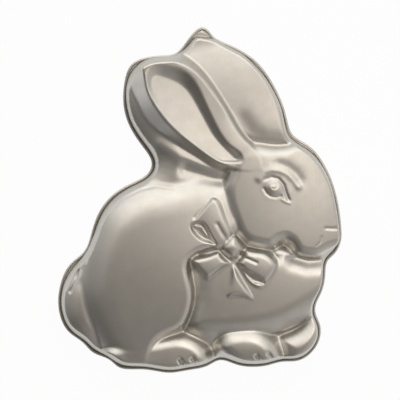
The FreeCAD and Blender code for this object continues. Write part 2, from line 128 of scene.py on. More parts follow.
EAR_CREST_PX = [
    (143, 68), (153, 62.5), (167, 61.5), (181, 64.5), (196, 73), (211, 90), (225, 110), (236, 129),
    (247, 143), (258, 155), (260, 168), (243, 171), (224, 165.5), (206, 155), (189.5, 143), (170.5, 127),
    (154.5, 106), (147.5, 91), (144.5, 78),
]
EAR_MOUTH_PX = [
    (148, 72), (155, 66.5), (168, 67), (184, 72), (196, 84.5), (204.5, 102), (212.5, 119), (221, 135),
    (231, 147), (241, 155), (241, 162), (232, 162.5), (220, 162), (206, 154.5), (191, 144), (173, 128.5),
    (157.5, 109.5), (148.5, 94), (146, 82),
]
EAR_FLOOR_PX = [
    (153, 78), (158, 76), (166, 78), (178, 83), (188, 91), (196, 103), (204, 118), (213, 134), (223, 146),
    (234, 157), (236, 160), (231, 160.5), (221, 159.5), (209, 151.5), (196, 141.5), (180, 127.5),
    (164, 109), (154, 94), (151, 84),
]
REAR_EAR_PX = [
    (198, 35.5), (207, 34), (224, 37), (248, 46), (271, 66), (289, 95), (298, 126), (300, 154),
    (270, 156), (240, 150), (214, 128), (192, 100), (174, 74), (179, 60), (188, 46),
]
NECK_PX = [
    (134, 68), (129, 80), (128, 95), (129.5, 110), (136, 127), (147, 146), (154, 162), (148, 176),
    (130, 188), (120, 205), (160, 215), (205, 210), (240, 195), (250, 172), (222, 150), (195, 130),
    (175, 108), (165, 85), (155, 66),
]
CHEST_PX = [
    (212, 196), (240, 220), (268, 238), (305, 250), (340, 262), (340, 290), (326, 308), (303, 323),
    (282, 332), (262, 337), (240, 341), (215, 345), (184, 342), (186, 322), (186, 300), (184, 262),
    (192, 230),
]
REAR_FOOT_PX = [
    (112, 342), (132, 339), (150, 337), (164, 334.5), (178, 333), (192, 336), (202, 342), (209, 351),
    (210, 361), (201, 370), (172, 379), (136, 378), (106, 372), (98, 356),
]
NEAR_PAW_PX = [
    (214, 346), (222, 330), (234, 325.5), (248, 324.5), (263, 328.5), (275, 338), (282, 350), (283, 364),
    (262, 373), (238, 370), (222, 358),
]
FAR_PAW_PX = [
    (279, 338), (290, 332), (303, 322), (309, 312), (320, 314), (327, 332), (320, 352), (304, 366),
    (284, 368), (280, 352),
]
TAIL_PX = [
    (84, 262), (76, 268), (66, 280), (60, 296), (60, 318), (70, 334), (84, 346), (104, 360), (112, 350),
    (100, 290),
]
BOW_KNOT_PX = [
    (234, 233.5), (241, 240), (245, 247.5), (240, 256), (232, 260), (225, 256), (219.5, 249), (223, 240),
]
UPPER_LOOP_PX = [
    (210, 196.5), (218, 197.5), (223, 205), (228, 218), (233, 233), (228, 243), (219, 249.5), (208, 246),
    (196, 239), (188, 230), (188.5, 221), (197, 210),
]
RIGHT_LOOP_PX = [
    (244, 247), (253, 247.5), (264, 249), (274, 255), (279, 264), (276, 274), (270, 282), (262, 289),
    (254, 288), (245, 280), (238, 269), (234.5, 261), (240, 254),
]
LEFT_TAIL_PX = [
    (190, 259), (200, 254.5), (211, 251.5), (219, 249.5), (225, 256), (232, 262.5), (222, 270),
    (208, 280), (200, 274),
]
LOWER_TAIL_PX = [
    (232, 262), (229, 272), (227, 285), (225.5, 297), (239, 297.5), (254, 300), (249, 287), (242, 276),
]
COLLAR_PX = [(272, 251.5), (284, 249), (293, 255), (288, 260), (278, 264)]

# Points to each corner of an outline, and what stands in for nothing where a sum divides
LINE_STEPS = 4
TINY = 1e-6

# The spacing of the field of heights, and its blur, which leaves no crease sharper than a press tool would
FIELD_SPACING = 0.0006
CREASE_BLUR = 0.0006
BLUR_REACH = 3

# The land between the forms, how far past its outline a form is worked out, and how softly forms meet
LAND_HEIGHT = 0.022
FORM_MARGIN = 0.012
VALLEY_WIDTH = 0.0025
EAR_VALLEY = 0.0015

# What makes some sides of a form rise more gently: the dome's outline, the height that shows there, its
# side's angle there in degrees and how far in it flattens out
Dome = namedtuple("Dome", "outline height side reach")
HAUNCH_DOME = Dome([
    (300, 160), (217, 174), (200, 174), (182, 178), (162, 182), (142, 187), (122, 197), (106, 211),
    (96, 229), (89, 248), (84, 268), (81, 288), (83, 308), (91, 329), (101, 348), (109, 362), (116, 395),
    (200, 425), (300, 420), (340, 260),
], 0.031, 41, 0.036)
CHEST_DOME = Dome([
    (215, 150), (205, 215), (194, 262), (195, 300), (191, 326), (208, 333), (240, 332), (262, 329),
    (281, 324), (302, 314), (325, 300), (360, 280), (385, 230), (300, 140),
], 0.035, 36, 0.019)

# One form of the rabbit: its outline, the height of its foot, the node whose top it reaches, the pixel of its
# crown, how far the top has fallen at its sides and at its ends, its side's angle in degrees, its shoulder's
# radius, and its dome if it has one
Form = namedtuple("Form", "outline foot node crown_px sag_across sag_along side radius dome", defaults=[None])
FORMS = [
    Form(REAR_EAR_PX, 0.022, "rear_ear", (262, 122), 0.003, 0.009, 52, 0.006),
    Form(NECK_PX, 0.025, "neck", (195, 160), 0.001, 0.001, 42, 0.012),
    Form(TAIL_PX, 0.022, "tail", (84, 306), 0.008, 0.004, 50, 0.010),
    Form(CHEST_PX, 0.024, "chest", (262, 282), 0.004, 0.003, 68, 0.003, CHEST_DOME),
    Form(FAR_PAW_PX, 0.022, "far_paw", (300, 342), 0.004, 0.004, 55, 0.008),
    Form(NEAR_PAW_PX, 0.026, "near_paw", (250, 348), 0.002, 0.004, 60, 0.007),
    Form(REAR_FOOT_PX, 0.028, "rear_foot", (160, 356), 0.001, 0.001, 60, 0.006),
    Form(HAUNCH_PX, 0.025, "haunch", (165, 262), 0.004, 0.009, 68, 0.004, HAUNCH_DOME),
    Form(HEAD_PX, 0.030, "head", (275, 198), 0.004, 0.002, 62, 0.006),
    Form(UPPER_LOOP_PX, 0.038, "bow_upper_loop", (212, 222), 0.002, 0.002, 68, 0.0025),
    Form(RIGHT_LOOP_PX, 0.036, "bow_right_loop", (258, 266), 0.002, 0.002, 64, 0.0030),
    Form(LEFT_TAIL_PX, 0.036, "bow_left_tail", (209, 264), 0.001, 0.001, 64, 0.0025),
    Form(LOWER_TAIL_PX, 0.036, "bow_lower_tail", (237, 284), 0.001, 0.001, 64, 0.0020),
    Form(COLLAR_PX, 0.034, "collar_ribbon", (283, 256), 0.001, 0.001, 50, 0.0020),
    Form(BOW_KNOT_PX, 0.038, "bow_knot", (231, 246), 0.004, 0.004, 66, 0.0040),
]

# The front ear rises from its crease to its crest. Its recess falls from its mouth to a sloping floor, which
# goes from the height at one pixel to the height at another.
EAR_CREASE, EAR_CREST, EAR_CROWN = 0.0315, 0.0440, 0.0448
EAR_CREST_WIDTH = 0.0008
RECESS_HIGH_PX, RECESS_HIGH = (166, 118), 0.0436
RECESS_LOW_PX, RECESS_LOW = (192, 92), 0.0360
RECESS_FLOOR_WIDTH = 0.0012
RECESS_MOUTH_WIDTH = 0.0009

# The openings of the bow's loops: the outline and height of their mouth, the height of their floor, the angle
# of their sides in degrees and how softly they break the loop
Opening = namedtuple("Opening", "outline mouth floor side edge")
OPENINGS = [
    Opening(
        [(190, 226), (196, 221.5), (203, 222.5), (208, 229), (213, 238), (217, 245), (208, 243.5),
         (197, 238)],
        0.0470, 0.0415, 62, 0.0010),
    Opening(
        [(237, 262), (245, 268), (255, 273.5), (264, 279), (267, 284), (259, 287.5), (251, 284),
         (243, 275)],
        0.0470, 0.0415, 62, 0.0010),
]

# Folds, grooves and ridges, each along a line of pixels at a height, with its half width and its lift. They
# reach a few of their half widths. The one under the head is made before the head covers it.
Stroke = namedtuple("Stroke", "line height half_width lift")
STROKE_REACH = 3
UNDER_HEAD = Stroke(
    [(236, 240), (248, 248), (262, 252), (276, 251), (285, 248), (295, 257), (308, 261), (322, 260),
     (336, 252)],
    0.032, 0.0080, -0.0080)
STROKES = [
    # The eye's lids, its corner, the ball, the ring of the pupil and the brow
    Stroke([(265, 179.5), (271, 177.5), (278, 179.5), (283, 185.5), (285, 193), (288, 200)],
           0.046, 0.0013, -0.0014),
    Stroke([(263.5, 189), (266, 193.5), (270, 196.5), (276, 197.5), (280, 196)], 0.046, 0.0012, -0.0008),
    Stroke([(281.5, 200), (285, 202), (289, 203.5)], 0.046, 0.0010, 0.0004),
    Stroke([(271.5, 187.5), (273.5, 189)], 0.046, 0.0062, 0.0022),
    Stroke([(271.5, 186), (274, 184.3), (276.3, 186), (276, 188.6), (273.5, 189.4), (271.5, 188)],
           0.048, 0.0006, -0.0007),
    Stroke([(259, 179), (264, 172.5), (271, 169.8), (279, 170.5), (287, 174), (293, 180), (298, 187)],
           0.046, 0.0032, 0.0010),
    Stroke([(277, 164), (286, 168), (294, 174), (298, 180)], 0.046, 0.0060, -0.0011),
    # The nose and the mouth
    Stroke([(325, 228.5), (331, 229), (337, 229)], 0.044, 0.0010, -0.0008),
    Stroke([(321, 237), (320, 242), (316, 246.5)], 0.044, 0.0010, -0.0003),
    # The upper loop's double edge, its fold towards the knot and the fold in its opening
    Stroke([(210, 201), (203, 209), (195, 218)], 0.047, 0.0012, -0.0012),
    Stroke([(217, 224), (222, 233), (227, 240)], 0.047, 0.0018, -0.0007),
    Stroke([(195, 226), (201, 227), (207, 236)], 0.043, 0.0011, 0.0018),
    # The right loop's upper fold, and the glint in its opening
    Stroke([(241, 256.5), (248, 259), (256, 262.5)], 0.047, 0.0011, -0.0015),
    Stroke([(246, 271.5), (254, 276.5), (262, 281)], 0.043, 0.0010, 0.0015),
    Stroke([(255, 283.5), (260, 284)], 0.042, 0.0014, 0.0016),
    # The soft ridge and the valley of the neck, under the ear's root
    Stroke([(160, 145), (180, 156), (200, 164), (218, 171)], 0.034, 0.0065, 0.0018),
    Stroke([(186, 170), (204, 175), (222, 180)], 0.034, 0.0065, -0.0030),
    # The crease round the haunch
    Stroke([(86, 262), (91, 244), (98, 228), (107, 213), (122, 199), (140, 190), (156, 186), (172, 188)],
           0.033, 0.0012, -0.0009),
    # The hollow at the rear ear's root
    Stroke([(240, 120), (250, 134), (263, 142), (282, 144)], 0.036, 0.0100, -0.0014),
    # The toes of the rear foot and of the near paw
    Stroke([(180, 359), (183, 364), (186, 371)], 0.036, 0.0016, -0.0040),
    Stroke([(192, 358), (196, 363), (201, 369)], 0.036, 0.0016, -0.0035),
    Stroke([(256, 355), (260, 361), (264, 369)], 0.036, 0.0016, -0.0035),
    Stroke([(268, 353), (272, 358), (278, 365)], 0.036, 0.0016, -0.0030),
    # The tufts of the tail
    Stroke([(76, 266), (71, 275), (66, 288)], 0.028, 0.0014, -0.0015),
    Stroke([(80, 270), (77, 280), (71, 291)], 0.028, 0.0014, -0.0015),
]

# The blank: how far in from the wall's foot its closely spaced rings reach, how many rings lie outside it,
# how far a ring's point may miss its distance as a share of their step, and the step over which the wall's
# direction is read
RING_REACH = 0.0088
OUTER_RINGS = 5
RING_MISS_SHARE = 0.25
SPLAY_STEP = 0.0005

# The boxes of pixels that hold the finest detail
FINE_BOXES_PX = [
    ((183, 192), (285, 304)), ((253, 161), (302, 208)), ((314, 223), (342, 250)), ((174, 352), (284, 372)),
]


def on_pan(pixels, height):
    """Where points that show at pixels lie on the pan, if they are at a height above the rim's plane."""
    pixels = np.asarray(pixels, float)
    height = np.asarray(height, float)
    across = (pixels[..., 0] - (RIM_LEFT_PX + RIM_RIGHT_PX) / 2) / (RIM_RIGHT_PX - RIM_LEFT_PX)
    along = ((RIM_TOP_PX + RIM_BOTTOM_PX) / 2 - pixels[..., 1]) / (RIM_BOTTOM_PX - RIM_TOP_PX)
    x = (CAD_LOW[0] + CAD_HIGH[0]) / 2 + across * (CAD_HIGH[0] - CAD_LOW[0]) - height * LEAN_ACROSS
    y = (CAD_LOW[1] + CAD_HIGH[1]) / 2 + along * (CAD_HIGH[1] - CAD_LOW[1]) + height * LEAN_ALONG
    return np.stack([x, y], axis=-1)


def smooth_line(corners, each):
    """A smooth closed line through corners, anticlockwise, with each points to every corner."""
    following = np.roll(corners, -1, axis=0)
    if np.sum(corners[:, 0] * following[:, 1] - following[:, 0] * corners[:, 1]) < 0:
        corners = corners[::-1]
    ahead = np.roll(corners, -1, axis=0) - corners
    span = np.sqrt(np.linalg.norm(ahead, axis=1))
    before = np.roll(span, 1)
    rows = np.arange(len(corners))
    system = np.zeros((len(corners), len(corners)))
    system[rows, rows] = 2 / before + 2 / span
    system[rows, rows - 1] = 1 / before
    system[rows, (rows + 1) % len(corners)] = 1 / span
    pull = 3 * (np.roll(ahead, 1, axis=0) / before[:, None] ** 2 + ahead / span[:, None] ** 2)
    leaving = np.linalg.solve(system, pull) * span[:, None]
    arriving = np.roll(np.linalg.solve(system, pull), -1, axis=0) * span[:, None]
    points = []
    for step in range(each):
        t = step / each
        points.append(
            corners + t**2 * (3 - 2 * t) * ahead + t * (1 - t) ** 2 * leaving - t**2 * (1 - t) * arriving
        )
    return np.stack(points, axis=1).reshape(-1, 2)


def outline_on_pan(pixels, height):
    """The smooth closed line over corners that show at pixels, if they are at a height."""
    return smooth_line(on_pan(pixels, height), LINE_STEPS)


def evenly(line, spacing):
    """A closed line with its points moved to an even spacing."""
    closed = np.vstack([line, line[:1]])
    run = np.concatenate([[0], np.cumsum(np.linalg.norm(np.diff(closed, axis=0), axis=1))])
    marks = np.linspace(0, run[-1], round(run[-1] / spacing), endpoint=False)
    return np.stack([np.interp(marks, run, closed[:, axis]) for axis in (0, 1)], axis=1)


def outward(line):
    """The outward direction at each point of an anticlockwise closed line."""
    along = np.roll(line, -1, axis=0) - np.roll(line, 1, axis=0)
    normal = np.stack([along[:, 1], -along[:, 0]], axis=1)
    return normal / np.linalg.norm(normal, axis=1)[:, None]


def square_to(x, y, ax, ay, bx, by):
    """The square of each point's distance from the straight line between two points."""
    dx, dy = bx - ax, by - ay
    share = np.clip(((x - ax) * dx + (y - ay) * dy) / (dx * dx + dy * dy), 0, 1)
    return (x - ax - share * dx) ** 2 + (y - ay - share * dy) ** 2


def inside_distance(x, y, line):
    """How far inside a closed line each point lies. Outside it the distance is negative."""
    nearest = np.full(x.shape, np.inf)
    inside = np.zeros(x.shape, bool)
    for (ax, ay), (bx, by) in zip(line, np.roll(line, -1, axis=0)):
        nearest = np.minimum(nearest, square_to(x, y, ax, ay, bx, by))
        if ay != by:
            inside ^= ((ay > y) != (by > y)) & (x < ax + (y - ay) * (bx - ax) / (by - ay))
    return np.where(inside, 1, -1) * np.sqrt(nearest)


def shoulder(top, run, foot, side, radius):
    """A side that rises from its foot at an angle and turns over a rounded shoulder into the top.

    The run is how far in from the foot's line a point lies.
    """
    lean, steep = np.cos(side), np.sin(side)
    gap = lean * (top - radius - foot) - steep * run + radius
    reach = 1 + lean**2
    rounded = (np.sqrt(np.maximum(radius**2 * reach - gap**2, 0)) - gap * lean) / reach
    height = np.where(gap <= -lean * radius, top, top - radius + rounded)
    return np.where(gap >= radius, foot + run * steep / lean, height)


def blend_max(first, second, width):
    """The higher of two heights, with a rounded valley where they cross."""
    return np.maximum(first, second) + np.maximum(width - np.abs(first - second), 0) ** 2 / (4 * width)


def blend_min(first, second, width):
    """The lower of two heights, with a rounded ridge where they cross."""
    return -blend_max(-first, -second, width)


def soft_step(low, high, value):
    """A smooth rise from 0 at low to 1 at high."""
    share = np.clip((value - low) / (high - low), 0, 1)
    return share * share * (3 - 2 * share)


def form_height(form, x, y):
    """The height of one form over every point."""
    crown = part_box(form.node)[1].z
    outline = outline_on_pan(form.outline, form.foot)
    run = inside_distance(x, y, outline)
    middle = on_pan(form.crown_px, crown)
    half = (outline.max(axis=0) - outline.min(axis=0)) / 2
    across, along = (x - middle[0]) / half[0], (y - middle[1]) / half[1]
    top = crown - form.sag_across * across**2 - form.sag_along * along**2
    height = shoulder(top, run, form.foot, math.radians(form.side), form.radius)
    if form.dome:
        height = blend_min(height, top - dome_fall(form.dome, x, y), VALLEY_WIDTH)
    return height


def dome_fall(dome, x, y):
    """How far a dome has fallen below its top: in an arc to its outline, and straight on outside it."""
    run = inside_distance(x, y, outline_on_pan(dome.outline, dome.height))
    side = math.radians(dome.side)
    radius = dome.reach / math.sin(side)
    left = np.clip(dome.reach - run, 0, dome.reach)
    return radius - np.sqrt(radius**2 - left**2) + np.maximum(-run, 0) * math.tan(side)


def hollow_height(opening, x, y):
    """The height of an opening's floor and sides over every point."""
    run = inside_distance(x, y, outline_on_pan(opening.outline, opening.mouth))
    return blend_max(opening.floor, opening.mouth - run * math.tan(math.radians(opening.side)), opening.edge)


def between(x, y, outer, outer_height, inner, inner_height):
    """How far each point is on the way from an outer line to an inner one, and past 1 inside that."""
    from_outer = inside_distance(x, y, outline_on_pan(outer, outer_height))
    from_inner = inside_distance(x, y, outline_on_pan(inner, inner_height))
    return from_outer / np.maximum(from_outer - from_inner, TINY)


def ear_swell(x, y):
    """The front ear before its recess: a steep side up to its crest, and a flat crown."""
    rise = between(x, y, EAR_CREASE_PX, EAR_CREASE, EAR_CREST_PX, EAR_CREST)
    return blend_min(EAR_CREASE + (EAR_CREST - EAR_CREASE) * rise, EAR_CROWN, EAR_CREST_WIDTH)


def ear_recess(x, y):
    """The front ear's recess: a steep side down to a sloping floor."""
    high, low = on_pan(RECESS_HIGH_PX, RECESS_HIGH), on_pan(RECESS_LOW_PX, RECESS_LOW)
    fall = low - high
    share = ((x - high[0]) * fall[0] + (y - high[1]) * fall[1]) / (fall @ fall)
    floor = RECESS_HIGH + (RECESS_LOW - RECESS_HIGH) * share
    depth = between(x, y, EAR_MOUTH_PX, EAR_CROWN, EAR_FLOOR_PX, RECESS_LOW)
    return blend_max(EAR_CROWN - (EAR_CROWN - floor) * depth, floor, RECESS_FLOOR_WIDTH)


def stroke_lift(stroke, x, y):
    """How much a fold, groove or ridge lifts every point."""
    line = on_pan(stroke.line, stroke.height)
    nearest = np.full(x.shape, np.inf)
    for start, end in zip(line, line[1:]):
        nearest = np.minimum(nearest, square_to(x, y, *start, *end))
    return stroke.lift * np.exp(-nearest / stroke.half_width**2)


class Field:
    """Heights over an even grid of points, read between them by a cubic curve each way."""

    def __init__(self):
        self.low = np.array(CAD_LOW[:2]) - FIELD_SPACING * BLUR_REACH
        count = np.ceil((np.array(CAD_HIGH[:2]) - self.low) / FIELD_SPACING).astype(int) + BLUR_REACH
        across, along = (self.low[axis] + FIELD_SPACING * np.arange(count[axis]) for axis in (0, 1))
        self.x, self.y = np.meshgrid(across, along, indexing="ij")
        self.height = np.full(self.x.shape, LAND_HEIGHT)

    def near(self, outline, margin):
        """The part of the grid that holds an outline."""
        first = np.floor((outline.min(axis=0) - margin - self.low) / FIELD_SPACING).astype(int)
        last = np.ceil((outline.max(axis=0) + margin - self.low) / FIELD_SPACING).astype(int)
        first, last = np.maximum(first, 0), np.minimum(last, self.x.shape)
        return slice(first[0], last[0]), slice(first[1], last[1])

    def meet(self, outline, margin, blend, width, height_over, *shape):
        """Blends the heights of a shape with what stands round its outline."""
        window = self.near(outline, margin)
        height = height_over(*shape, self.x[window], self.y[window])
        self.height[window] = blend(self.height[window], height, width)

    def fold(self, stroke):
        """Lifts or lowers what lies along a stroke."""
        window = self.near(on_pan(stroke.line, stroke.height), STROKE_REACH * stroke.half_width)
        self.height[window] += stroke_lift(stroke, self.x[window], self.y[window])

    def blur(self):
        """Rounds every crease a little."""
        offsets = np.arange(-BLUR_REACH, BLUR_REACH + 1)
        weights = np.exp(-((offsets * FIELD_SPACING / CREASE_BLUR) ** 2) / 2)
        weights /= weights.sum()
        for axis in (0, 1):
            self.height = sum(w * np.roll(self.height, o, axis=axis) for o, w in zip(offsets, weights))

    def one_gauge_below(self, gauge):
        """The field of a face that stays one gauge from this one: a ball of that radius rolls along it."""
        made = Field()
        reach = int(gauge / FIELD_SPACING)
        lowered = []
        for i in range(-reach, reach + 1):
            for j in range(-reach, reach + 1):
                square = gauge**2 - (i * i + j * j) * FIELD_SPACING**2
                if square >= 0:
                    lowered.append(np.roll(self.height, (i, j), axis=(0, 1)) - math.sqrt(square))
        made.height = np.minimum.reduce(lowered)
        return made

    def read(self, points):
        """The height at any points, from the four heights round each of them each way."""
        place = (points - self.low) / FIELD_SPACING
        cell = np.clip(np.floor(place).astype(int), 1, np.array(self.x.shape) - 3)
        t = place - cell
        weights = np.stack([
            -t / 2 + t**2 - t**3 / 2,
            1 - 5 * t**2 / 2 + 3 * t**3 / 2,
            t / 2 + 2 * t**2 - 3 * t**3 / 2,
            -(t**2) / 2 + t**3 / 2,
        ])
        total = np.zeros(len(points))
        for i in range(4):
            for j in range(4):
                height = self.height[cell[:, 0] + i - 1, cell[:, 1] + j - 1]
                total += weights[i, :, 0] * weights[j, :, 1] * height
        return total


def relief():
    """The heights of the whole rabbit, before the side wall trims them."""
    field = Field()
    ear = on_pan(EAR_CREASE_PX, EAR_CREASE)
    for form in FORMS:
        if form.node == "head":
            field.meet(ear, FORM_MARGIN, blend_max, EAR_VALLEY, ear_swell)
            field.fold(UNDER_HEAD)
        field.meet(on_pan(form.outline, form.foot), FORM_MARGIN, blend_max, VALLEY_WIDTH, form_height, form)
        if form.node == "head":
            field.meet(ear, FORM_MARGIN, blend_min, RECESS_MOUTH_WIDTH, ear_recess)
    for opening in OPENINGS:
        field.meet(on_pan(opening.outline, opening.mouth), 0, blend_min, opening.edge, hollow_height, opening)
    for stroke in STROKES:
        field.fold(stroke)
    field.height = np.minimum(field.height, CAD_HIGH[2])
    field.blur()
    return field


def staggered_grid(low, high, step):
    """Points in even triangles over a box."""
    rows = np.arange(low[1], high[1], step * math.sqrt(3) / 2)
    columns = np.arange(low[0], high[0], step)
    x, y = np.meshgrid(columns, rows, indexing="ij")
    x = x + step / 2 * (np.arange(len(rows)) % 2)
    return np.stack([x.ravel(), y.ravel()], axis=1)


def in_fine_box(points):
    """Which points lie where the relief is finest."""
    found = np.zeros(len(points), bool)
    for corners in FINE_BOXES_PX:
        corners = on_pan(corners, LAND_HEIGHT)
        low, high = corners.min(axis=0), corners.max(axis=0)
        found |= np.all((points > low) & (points < high), axis=1)
    return found


def blank_face(edge, wall, inwards, ring_step, step, fine_step):
    """Points over the pan, seen from above, and the triangles between them.

    The first points are the edge. Rings follow the wall, and even triangles fill what they leave.
    """
    out = outward(wall)
    rings = []
    for distance in inwards + ring_step * np.arange(-OUTER_RINGS, RING_REACH / ring_step):
        ring = wall - out * distance
        true_distance = inside_distance(ring[:, 0], ring[:, 1], wall)
        clear = inside_distance(ring[:, 0], ring[:, 1], edge) > ring_step
        rings.append(ring[clear & (np.abs(true_distance - distance) < ring_step * RING_MISS_SHARE)])
    low, high = np.array(CAD_LOW[:2]), np.array(CAD_HIGH[:2])
    middle, fine = staggered_grid(low, high, step), staggered_grid(low, high, fine_step)
    middle = np.vstack([middle[~in_fine_box(middle)], fine[in_fine_box(fine)]])
    run = inside_distance(middle[:, 0], middle[:, 1], wall)
    middle = middle[run > RING_REACH + inwards + ring_step / 2]
    points = np.vstack([edge] + rings + [middle])
    border = [(i, (i + 1) % len(edge)) for i in range(len(edge))]
    flat = [Vector((x, y)) / FIELD_SPACING for x, y in points]
    found, _, triangles, _, _, _ = delaunay_2d_cdt(flat, border, [], 1, TINY)
    if len(found) != len(points):
        raise RuntimeError("Two points of the sheet fell together")
    return points, np.array(triangles)


def sheet_height(points, field, wall, inset, sizes):
    """The height of a face of the sheet. The underside lies one gauge inside the upper face."""
    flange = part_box("rim_flange")[1].z - inset
    run = inside_distance(points[:, 0], points[:, 1], wall)
    ahead = inside_distance(points[:, 0], points[:, 1] + SPLAY_STEP, wall)
    lean = sizes.wall_side - sizes.wall_splay * soft_step(0, SPLAY_STEP, ahead - run)
    side = shoulder(field.read(points), run - inset, flange, lean, sizes.wall_shoulder - inset)
    return np.maximum(blend_max(flange, side, sizes.wall_fillet), flange)


def sheet_edge(sizes, rim):
    """The sheet's edge, which is also the middle of the rim's bead."""
    line = evenly(outline_on_pan(RIM_PX, 0), sizes.ring_spacing)
    return line - outward(line) * rim.bead_radius


class SheetSettings(PropertyGroup):
    """The sizes of the pressed sheet."""

    gauge: FloatProperty(
        name="Gauge", description="Thickness of the sheet", default=0.0010, min=0.0004, subtype="DISTANCE")
    wall_side: FloatProperty(
        name="Wall angle", description="Angle of the drafted side wall", default=math.radians(87),
        subtype="ANGLE")
    wall_splay: FloatProperty(
        name="Wall splay", description="How much gentler the wall is along the feet",
        default=math.radians(7), subtype="ANGLE")
    wall_shoulder: FloatProperty(
        name="Wall shoulder", description="Radius at the top of the wall", default=0.0025,
        subtype="DISTANCE")
    wall_fillet: FloatProperty(
        name="Wall fillet", description="How softly the wall meets the flange", default=0.003,
        subtype="DISTANCE")
    ring_step: FloatProperty(
        name="Ring step", description="Distance between the rings of points on the wall", default=0.0005,
        subtype="DISTANCE")
    ring_spacing: FloatProperty(
        name="Ring spacing", description="Distance between the points of one ring", default=0.0012,
        subtype="DISTANCE")
    blank_step: FloatProperty(
        name="Blank step", description="Distance between the points of the blank", default=0.00145,
        subtype="DISTANCE")
    fine_step: FloatProperty(
        name="Fine step", description="The same where the relief is finest", default=0.0009,
        subtype="DISTANCE")
    underside_share: FloatProperty(
        name="Underside", description="How much wider apart the underside's points are", default=1.9)


class RimSettings(PropertyGroup):
    """The sizes of the rolled rim."""

    bead_radius: FloatProperty(
        name="Bead radius", description="Radius of the rolled edge", default=0.0013, subtype="DISTANCE")
    sides: IntProperty(name="Sides", description="Faces round the bead's section", default=16, min=8)


class AluminiumSettings(PropertyGroup):
    """The look of the satin aluminium."""

    colour: FloatVectorProperty(
        name="Colour", description="Colour of the bare metal", default=(0.74, 0.72, 0.69),
        size=3, min=0, max=1, subtype="COLOR")
    # Painted shade: the darker colour that the steep side wall and other steep faces blend towards
    wall_painted_shade: FloatVectorProperty(
        name="Wall colour", description="Colour of the duller side wall", default=(0.52, 0.50, 0.45),
        size=3, min=0, max=1, subtype="COLOR")
    roughness: FloatProperty(
        name="Roughness", description="How satin the surface is", default=0.42, min=0, max=1,
        subtype="FACTOR")
    waviness: FloatProperty(
        name="Waviness", description="Depth of the waves that pressing leaves", default=0.00012,
        subtype="DISTANCE")
    grain: FloatProperty(
        name="Grain", description="Depth of the rolling grain", default=0.000012, subtype="DISTANCE")


class StudioSettings(PropertyGroup):
    """The floor, the light and the camera."""

    floor_colour: FloatVectorProperty(
        name="Floor", description="Colour of the floor", default=(0.94, 0.94, 0.94), size=3, min=0, max=1,
        subtype="COLOR")
    floor_white: FloatProperty(
        name="White floor", description="How much of the floor's look is plain white", default=0.96,
        min=0, max=1, subtype="FACTOR")
    sky_level: FloatProperty(name="Sky level", description="Strength of the sky", default=1.0, min=0)
    lamp_power: FloatProperty(
        name="Lamp power", description="Power of the lamp over the head, in watts", default=0.36, min=0)
    camera_distance: FloatProperty(
        name="Camera distance", description="Height of the camera over the pan", default=6.0,
        subtype="DISTANCE")


SETTINGS = {
    "rabbit_sheet": SheetSettings, "rabbit_rim": RimSettings,
    "rabbit_aluminium": AluminiumSettings, "rabbit_studio": StudioSettings,
}


class Wire:
    """What leaves a node's socket. Sums on it add Math nodes."""

    def __init__(self, nodes, socket):
        self.nodes, self.socket = nodes, socket

    def math(self, operation, *values):
        """What a Math node makes of values."""
        return self.nodes.make("ShaderNodeMath", {"operation": operation}, dict(enumerate(values)))

    def __add__(self, other):
        return self.math("ADD", self, other)

    def __radd__(self, other):
        return self.math("ADD", other, self)

    def __sub__(self, other):
        return self.math("SUBTRACT", self, other)

    def __rsub__(self, other):
        return self.math("SUBTRACT", other, self)

    def __mul__(self, other):
        return self.math("MULTIPLY", self, other)

    def most(self, other):
        """The higher of two values."""
        return self.math("MAXIMUM", self, other)

    def ease(self, low, high):
        """A smooth rise from 0 at low to 1 at high."""
        return self.nodes.make(
            "ShaderNodeMapRange", {"interpolation_type": "SMOOTHSTEP"},
            {"Value": self, "From Min": low, "From Max": high})


# The sockets of a Mix node that hold its share, its two colours and their mix
MIX_SHARE, MIX_FIRST, MIX_SECOND, MIX_RESULT = 0, 6, 7, 2


class Nodes:
    """The nodes of one material or world."""

    def __init__(self, owner):
        owner.use_nodes = True
        self.tree = owner.node_tree
        self.tree.nodes.clear()

    def make(self, kind, settings=None, values=None, leaving=0):
        """A node of a type, with its settings made first, then the values or links of its sockets.

        It gives what leaves one socket, or each of several.
        """
        node = self.tree.nodes.new(kind)
        for name, value in (settings or {}).items():
            setattr(node, name, value)
        for name, value in (values or {}).items():
            if isinstance(value, Wire):
                self.tree.links.new(value.socket, node.inputs[name])
            else:
                node.inputs[name].default_value = value
        if not node.outputs:
            return node
        if isinstance(leaving, tuple):
            return [Wire(self, node.outputs[name]) for name in leaving]
        return Wire(self, node.outputs[leaving])

    def blend_colours(self, share, first, second):
        """A mix of two colours."""
        return self.make(
            "ShaderNodeMix", {"data_type": "RGBA"},
            {MIX_SHARE: share, MIX_FIRST: first, MIX_SECOND: second}, leaving=MIX_RESULT)

    def noise(self, place, kind):
        """Soft noise of a kind over a place."""
        return self.make(
            "ShaderNodeTexNoise", None,
            {"Vector": place, "Scale": 1 / kind.size, "Detail": kind.detail, "Roughness": kind.roughness})


# The metal's noises: the size of their blotches, how many finer layers lie on them and how much those show
Noise = namedtuple("Noise", "size detail roughness")
WAVES = Noise(0.030, 2.0, 0.5)
GRAIN = Noise(0.0009, 3.0, 0.6)
CLOUDS = Noise(0.012, 3.0, 0.55)
GRAIN_STRETCH = (1.0, 0.06, 1.0)
NOISE_MIDDLE = 0.5
NOISE_RANGE = (0.3, 0.7)

# How much clouds and grain show in the colour, how dark they make it, and what they add to the roughness
CLOUD_SHARE = 0.5
GRAIN_SHARE = 0.3
DARKEST_SHARE = 0.90
CLOUD_ROUGHNESS = 0.10
GRAIN_ROUGHNESS = 0.08

# How much rougher the rim is, where the pan is handled
RIM_RUB = 0.05

# The square of the normal's rise where the painted shade on the steep side wall is full, and where it has
# gone
WALL_SHADE_RANGE = (0.08, 0.50)


